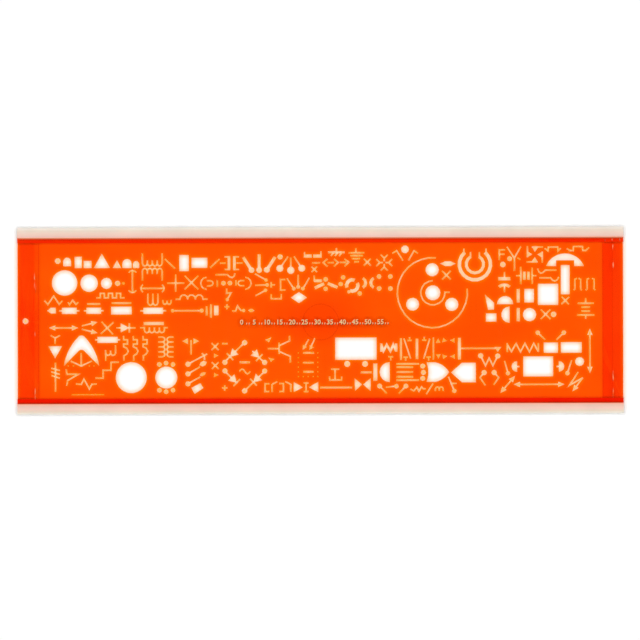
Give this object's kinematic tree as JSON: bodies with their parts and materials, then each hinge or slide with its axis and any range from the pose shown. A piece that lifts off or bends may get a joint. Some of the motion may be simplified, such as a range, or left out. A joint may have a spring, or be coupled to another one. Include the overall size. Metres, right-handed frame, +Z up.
{
  "type": "drafting stencil",
  "caption": "Flat transparent drafting stencil with circuit-symbol cut-outs, held off the paper by a guide rail along each long edge, with stiffened ends and a hanging hole.",
  "frame": {"origin": "middle of the outline, on the plane of the paper under the rails", "axes": "+X along the stencil, away from the hanging hole; +Y across it, towards the upper rail; +Z up from the paper, out of the face that is read"},
  "size_m": [0.2404, 0.0742, 0.0018],
  "materials": {
    "orange_tinted_plastic": "smooth, transparent",
    "cream_plastic": "smooth, translucent"
  },
  "bodies": {
    "root": {"stencil_plate": "orange_tinted_plastic", "upper_rail": "cream_plastic", "lower_rail": "cream_plastic", "left_end_strip": "orange_tinted_plastic", "right_end_strip": "orange_tinted_plastic"}
  },
  "joints": []
}
